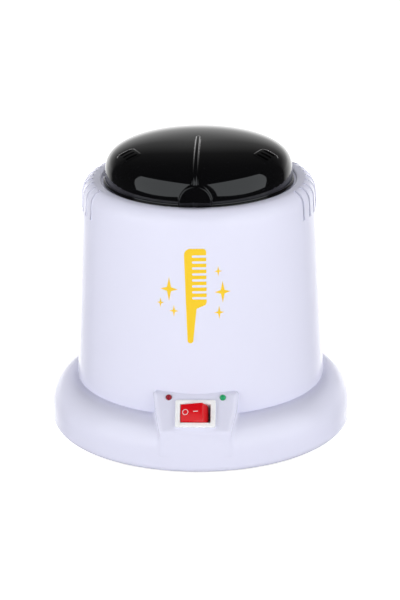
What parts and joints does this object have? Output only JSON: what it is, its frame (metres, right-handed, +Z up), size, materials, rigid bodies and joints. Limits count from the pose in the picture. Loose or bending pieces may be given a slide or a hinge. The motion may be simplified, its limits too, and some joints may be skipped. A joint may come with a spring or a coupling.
{
  "type": "tool sterilizer pot",
  "caption": "Round bench-top heated sterilizer pot with a steel tool well, loose vented lid, flared base, rocker switch and indicator lamps on a sloping front console.",
  "frame": {"origin": "on the pot's upright axis, at the bottom of the feet", "axes": "+Z up along the pot's axis; the console with the switch faces -Y; the cable entry is at +Y; +X is the viewer's right from the front"},
  "size_m": [0.1616, 0.1615, 0.1617],
  "materials": {
    "housing_white": "moulded ABS, glossy, cool white",
    "cover_steel": "grey stove enamel",
    "foot_rubber": "matte",
    "screw_zinc": "zinc plated",
    "collar_phenolic": "heat-proof moulding, satin",
    "well_steel": "drawn stainless, turned grain",
    "heater_mica": "heat-tinted band",
    "sleeve_fibre": "ceramic fibre",
    "shield_aluminium": "rolled sheet",
    "plate_steel": "pressed sheet",
    "insulator_ceramic": "unglazed",
    "standoff_brass": "machined",
    "thermostat_metal": "drawn cap",
    "switch_white": "moulded, satin gloss",
    "rocker_red": "translucent red moulding",
    "plunger_nylon": "nylon",
    "spring_steel": "wire",
    "lamp_red": "tinted lens",
    "lamp_green": "tinted lens",
    "board_green": "solder mask",
    "resistor_body": "lacquer",
    "gland_rubber": "matte",
    "wire_brown": "sleeving",
    "wire_red": "sleeving",
    "wire_blue": "sleeving",
    "wire_white": "sleeving",
    "wire_green": "sleeving",
    "lid_black": "moulded, high gloss black",
    "gasket_silicone": "silicone"
  },
  "bodies": {
    "housing": {"base_shell": "housing_white", "body_shell": "housing_white", "bottom_cover": "cover_steel", "foot_1": "foot_rubber", "foot_2": "foot_rubber", "foot_3": "foot_rubber", "foot_4": "foot_rubber", "foot_screws": "screw_zinc", "cover_screws": "screw_zinc", "body_screws": "screw_zinc", "pot_collar": "collar_phenolic", "well_pot": "well_steel", "collar_screws": "screw_zinc", "heater_band": "heater_mica", "band_bolt": "screw_zinc", "insulation_sleeve": "sleeve_fibre", "heat_shield": "shield_aluminium", "support_plate": "plate_steel", "base_insulator": "insulator_ceramic", "standoff_1": "standoff_brass", "standoff_2": "standoff_brass", "standoff_3": "standoff_brass", "standoff_screws": "screw_zinc", "thermostat": "thermostat_metal", "thermal_fuse": "insulator_ceramic", "switch_housing": "switch_white", "switch_terminals": "standoff_brass", "red_lamp": "lamp_red", "green_lamp": "lamp_green", "lamp_board": "board_green", "resistor_1": "resistor_body", "resistor_2": "resistor_body", "terminal_block": "plunger_nylon", "terminal_screws": "screw_zinc", "cord_grommet": "gland_rubber", "earth_tag": "plate_steel", "wire_live": "wire_brown", "wire_switched": "wire_red", "wire_heater": "wire_red", "wire_neutral": "wire_blue", "wire_lamps": "wire_white", "wire_earth": "wire_green"},
    "lid": {"lid_dome": "lid_black", "lid_gasket": "gasket_silicone", "lid_plate": "well_steel", "lid_screws": "screw_zinc"},
    "rocker": {"rocker": "rocker_red", "plunger": "plunger_nylon", "plunger_spring": "spring_steel"},
    "contact": {"contact_lever": "standoff_brass"}
  },
  "joints": [
    {"name": "lid_lift", "type": "slide", "parent": "housing", "child": "lid", "axis": [0, 0, 1], "range_m": [0, 0.06]},
    {"name": "rocker_tilt", "type": "hinge", "parent": "housing", "child": "rocker", "pos_m": [0, -0.0703, 0.02862], "axis": [0, 0.6756, 0.7373], "range_deg": [0, 28]},
    {"name": "contact_tilt", "type": "hinge", "parent": "housing", "child": "contact", "pos_m": [0, -0.06624, 0.02491], "axis": [0, 0.6756, 0.7373], "range_deg": [-10, 0]}
  ],
  "couplings": [
    {"joint": "contact_tilt", "follows": "rocker_tilt", "ratio": -0.35714}
  ]
}
